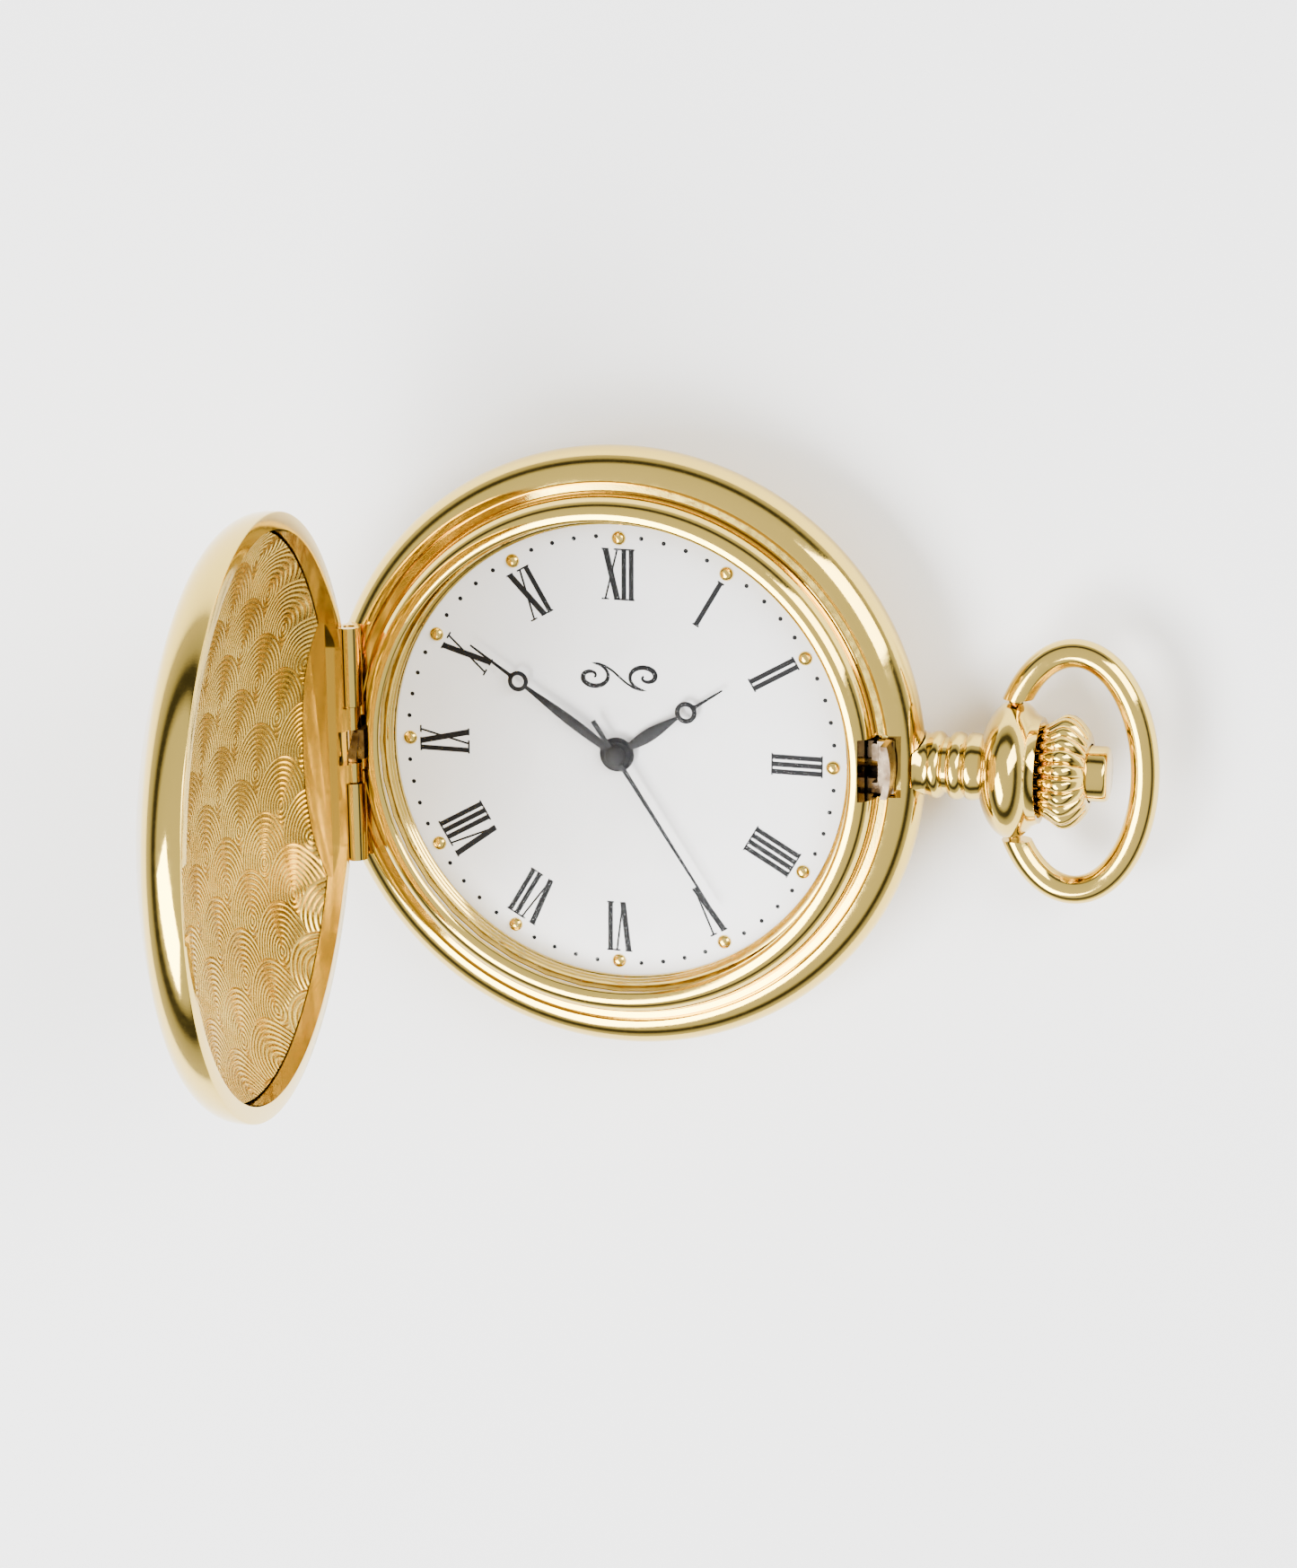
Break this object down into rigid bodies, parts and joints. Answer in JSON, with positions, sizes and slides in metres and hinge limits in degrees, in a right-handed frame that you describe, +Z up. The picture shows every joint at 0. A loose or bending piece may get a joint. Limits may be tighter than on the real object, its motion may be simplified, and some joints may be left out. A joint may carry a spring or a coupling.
{
  "type": "pocket watch",
  "caption": "Full-hunter quartz pocket watch with a sprung hinged lid, domed crystal, pendant with push-button crown and a swinging bow.",
  "frame": {"origin": "centre of the flat of the back cover, on the face that the watch rests on", "axes": "+Z up through the dial, +X out along the pendant (three o'clock), +Y towards twelve o'clock"},
  "size_m": [0.069, 0.0474, 0.0525],
  "materials": {
    "polished_gold": "yellow gold plate, polished",
    "satin_gold": "yellow gold plate, satin, engine turned",
    "spring_steel": "ground steel",
    "brass": "machined brass",
    "black_paint": "gloss black paint",
    "white_enamel": "white enamel paint on brass",
    "mineral_glass": "clear, polished, domed",
    "nitrile": "matt black rubber",
    "clear_nylon": "off-white moulding",
    "black_nylon": "black moulding",
    "copper_wire": "enamelled copper wire",
    "circuit_green": "green circuit board"
  },
  "bodies": {
    "case": {"case_middle": "polished_gold", "bezel": "polished_gold", "crystal": "mineral_glass", "crystal_gasket": "clear_nylon", "rehaut_ring": "polished_gold", "dial": "white_enamel", "movement_holder": "black_nylon", "main_plate": "brass", "train_bridge": "brass", "stator": "spring_steel", "coil": "copper_wire", "coil_core": "spring_steel", "circuit_board": "circuit_green", "circuit_chip": "black_paint", "quartz_can": "spring_steel", "battery": "spring_steel", "battery_clamp": "spring_steel", "bridge_screw_1": "spring_steel", "bridge_screw_2": "spring_steel", "bridge_screw_3": "spring_steel", "back_cover": "polished_gold", "back_gasket": "nitrile", "pendant": "polished_gold", "pendant_tube": "brass", "stem_gasket": "nitrile", "bow_pin_upper": "polished_gold", "bow_pin_lower": "polished_gold", "hinge_pin": "brass", "lid_spring_screw": "spring_steel", "latch_spring_screw": "spring_steel"},
    "lid": {"lid_shell": "polished_gold", "lid_liner": "satin_gold"},
    "lid_spring": {"lid_spring": "spring_steel"},
    "latch": {"latch_spring": "spring_steel"},
    "winding": {"clutch_wheel": "spring_steel"},
    "crown": {"crown": "polished_gold", "stem": "brass", "button_spring": "spring_steel"},
    "button": {"push_button": "polished_gold"},
    "setting_lever": {"setting_lever": "spring_steel"},
    "yoke": {"yoke": "spring_steel"},
    "bow": {"bow": "polished_gold"},
    "seconds": {"seconds_wheel": "brass", "seconds_hand": "black_paint"},
    "third": {"third_wheel": "brass"},
    "minutes": {"centre_wheel": "brass", "cannon_pinion": "spring_steel", "minute_hand": "black_paint"},
    "minute_wheel": {"minute_wheel": "brass"},
    "setting_wheel": {"setting_wheel": "brass"},
    "hours": {"hour_wheel": "brass", "hour_hand": "black_paint"},
    "fifth": {"fifth_wheel": "brass"},
    "rotor": {"rotor": "spring_steel"}
  },
  "joints": [
    {"name": "lid_hinge", "type": "hinge", "parent": "case", "child": "lid", "pos_m": [-0.02095, 0, 0.00925], "axis": [0, 1, 0], "range_deg": [0, 86], "stiffness_Nm_per_rad": 0.0023, "springref_deg": -63.03},
    {"name": "lid_spring_flex", "type": "hinge", "parent": "case", "child": "lid_spring", "pos_m": [-0.00967, 0.01676, 0.0057], "axis": [0, 0, 1], "range_deg": [0, 1]},
    {"name": "latch_flex", "type": "hinge", "parent": "case", "child": "latch", "pos_m": [0.00967, -0.01676, 0.0057], "axis": [0, 0, 1], "range_deg": [0, 1.7]},
    {"name": "crown_turn", "type": "hinge", "parent": "case", "child": "winding", "pos_m": [0.0082, 0, 0.0056], "axis": [1, 0, 0], "continuous": true},
    {"name": "crown_pull", "type": "slide", "parent": "winding", "child": "crown", "axis": [1, 0, 0], "range_m": [0, 0.001]},
    {"name": "button_press", "type": "slide", "parent": "crown", "child": "button", "axis": [-1, 0, 0], "range_m": [0, 0.00067], "stiffness_N_per_m": 600, "springref_m": -0.0003},
    {"name": "setting_lever_turn", "type": "hinge", "parent": "case", "child": "setting_lever", "pos_m": [0.0104, 0.0026, 0.0047], "axis": [0, 0, 1], "range_deg": [0, 10]},
    {"name": "yoke_turn", "type": "hinge", "parent": "case", "child": "yoke", "pos_m": [0.0095, -0.0026, 0.0045], "axis": [0, 0, 1], "range_deg": [0, 8]},
    {"name": "bow_swing", "type": "hinge", "parent": "case", "child": "bow", "pos_m": [0.0304, 0, 0.0056], "axis": [0, 1, 0], "range_deg": [-95, 95]},
    {"name": "seconds_turn", "type": "hinge", "parent": "case", "child": "seconds", "pos_m": [0, 0, 0.0045], "axis": [0, 0, 1], "continuous": true},
    {"name": "third_turn", "type": "hinge", "parent": "case", "child": "third", "pos_m": [-0.0023, 0.00398, 0.0051], "axis": [0, 0, 1], "continuous": true},
    {"name": "minutes_turn", "type": "hinge", "parent": "case", "child": "minutes", "pos_m": [0, 0, 0.0061], "axis": [0, 0, 1], "continuous": true},
    {"name": "minute_wheel_turn", "type": "hinge", "parent": "case", "child": "minute_wheel", "pos_m": [0.00312, 0, 0.0065], "axis": [0, 0, 1], "continuous": true},
    {"name": "setting_wheel_turn", "type": "hinge", "parent": "case", "child": "setting_wheel", "pos_m": [0.0065, 0, 0.0065], "axis": [0, 0, 1], "continuous": true},
    {"name": "hours_turn", "type": "hinge", "parent": "case", "child": "hours", "pos_m": [0, 0, 0.0071], "axis": [0, 0, 1], "continuous": true},
    {"name": "fifth_turn", "type": "hinge", "parent": "case", "child": "fifth", "pos_m": [-0.00378, -0.00265, 0.0041], "axis": [0, 0, 1], "continuous": true},
    {"name": "rotor_turn", "type": "hinge", "parent": "case", "child": "rotor", "pos_m": [-0.00378, -0.00607, 0.0046], "axis": [0, 0, 1], "continuous": true}
  ],
  "couplings": [
    {"joint": "lid_spring_flex", "follows": "lid_hinge", "ratio": 0.011616},
    {"joint": "latch_flex", "follows": "button_press", "rad_per_m": 44.24},
    {"joint": "setting_lever_turn", "follows": "crown_pull", "rad_per_m": 174.36},
    {"joint": "yoke_turn", "follows": "crown_pull", "rad_per_m": 139.49},
    {"joint": "third_turn", "follows": "seconds_turn", "ratio": -0.13333},
    {"joint": "minutes_turn", "follows": "seconds_turn", "ratio": 0.016667},
    {"joint": "minute_wheel_turn", "follows": "seconds_turn", "ratio": -0.0055556},
    {"joint": "setting_wheel_turn", "follows": "seconds_turn", "ratio": 0.0125},
    {"joint": "hours_turn", "follows": "seconds_turn", "ratio": 0.0013889},
    {"joint": "fifth_turn", "follows": "seconds_turn", "ratio": -6},
    {"joint": "rotor_turn", "follows": "seconds_turn", "ratio": 30}
  ]
}
